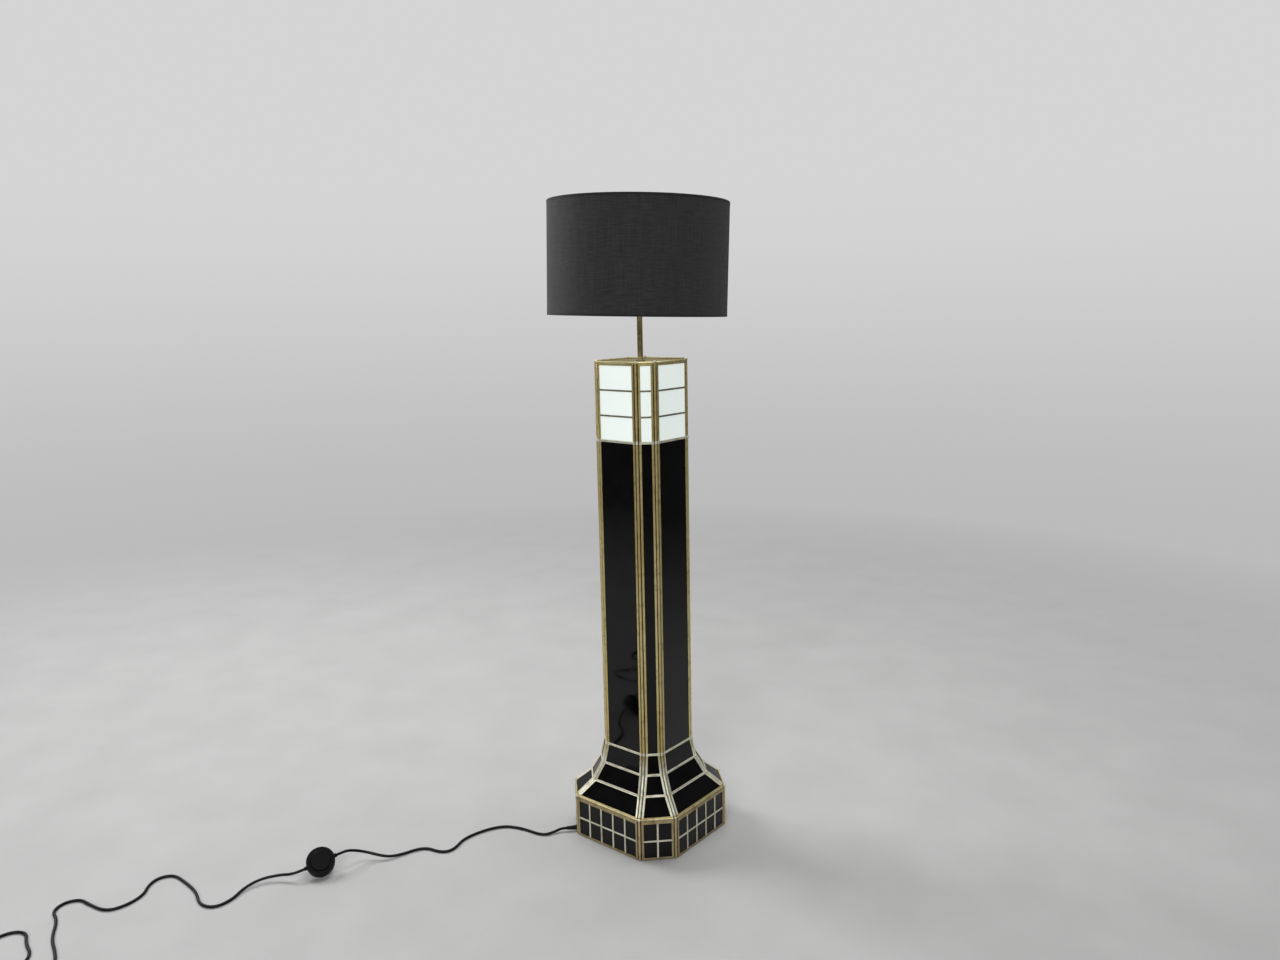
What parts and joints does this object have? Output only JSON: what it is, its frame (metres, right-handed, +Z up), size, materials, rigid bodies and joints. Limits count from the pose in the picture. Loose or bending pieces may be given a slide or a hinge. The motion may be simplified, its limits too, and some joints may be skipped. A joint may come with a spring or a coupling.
{
  "type": "lantern floor lamp",
  "caption": "Free-standing floor lamp: tiled octagonal plinth, flared black glass column, opal glass lantern with a hinged pane, and a drum shade on a short stem.",
  "frame": {"origin": "centre of the plinth on the floor", "axes": "+Z up; wide faces look along +X, -X, +Y and -Y; the lantern's door is in the -Y face, and the cord leaves the (-X, -Y) face"},
  "size_m": [0.9805, 1.4775, 1.4672],
  "materials": {
    "brass": "aged, satin, with pale highlights",
    "black_glass": "opaque black, polished",
    "opal_glass": "opaque white opal, smooth",
    "painted_steel": "satin black",
    "painted_wire": "satin off-white wire",
    "plated_steel": "bright plated",
    "spring_steel": "plain",
    "shade_fabric": "charcoal black weave, pale lining",
    "black_plastic": "fine satin",
    "white_plastic": "plain",
    "bulb_glass": "frosted",
    "pad_rubber": "matte",
    "cord_black": "satin flexible sheath"
  },
  "bodies": {
    "lamp": {"base_plate": "painted_steel", "foot_pads": "pad_rubber", "plinth_frames": "brass", "plinth_glazing_bars": "brass", "plinth_tiles": "black_glass", "plinth_corner_angles": "brass", "flare_corner_angles": "brass", "column_corner_angles": "brass", "plinth_rim_beads": "brass", "base_corner_beads": "brass", "flare_lower_frames": "brass", "flare_middle_frames": "brass", "flare_upper_frames": "brass", "flare_lower_panes": "black_glass", "flare_middle_panes": "black_glass", "flare_upper_panes": "black_glass", "column_frames_wide": "brass", "column_frames_narrow": "brass", "column_panes_wide": "black_glass", "column_panes_narrow": "black_glass", "column_corner_beads": "brass", "lantern_frames_wide": "brass", "lantern_frames_narrow": "brass", "lantern_bars": "brass", "opal_panes_wide": "opal_glass", "opal_panes_narrow": "opal_glass", "post_hinge_knuckles": "brass", "hinge_pins": "brass", "door_catch_spring": "spring_steel", "lantern_floor": "painted_steel", "top_plate": "brass", "stem_nipple": "plated_steel", "stem_nuts": "plated_steel", "stem_tube": "brass", "lantern_lampholder": "black_plastic", "lantern_bulb": "bulb_glass", "upper_lampholder": "black_plastic", "upper_bulb": "bulb_glass", "shade_ring_nut": "black_plastic", "shade_carrier": "painted_wire", "shade_top_ring": "painted_wire", "shade_shell": "shade_fabric", "inner_lead": "cord_black", "stem_lead": "cord_black", "terminal_block": "white_plastic", "cord_bushing": "black_plastic", "cord_lamp_to_switch": "cord_black", "cord_switch_to_plug": "cord_black", "switch_base": "black_plastic", "switch_cover": "black_plastic", "plug_body": "black_plastic", "plug_pins": "plated_steel"},
    "lantern_door": {"door_frame": "brass", "door_bars": "brass", "door_panes": "opal_glass", "door_hinge_knuckles": "brass", "door_catch_tongue": "brass"},
    "foot_button": {"switch_button": "black_plastic"}
  },
  "joints": [
    {"name": "lantern_door_hinge", "type": "hinge", "parent": "lamp", "child": "lantern_door", "pos_m": [-0.0508, -0.0906, 1.0287], "axis": [0, 0, -1], "range_deg": [0, 110]},
    {"name": "foot_button_slide", "type": "slide", "parent": "lamp", "child": "foot_button", "axis": [-0.6103, 0.3572, -0.7071], "range_m": [0, 0.0024], "stiffness_N_per_m": 600, "springref_m": -0.002}
  ]
}
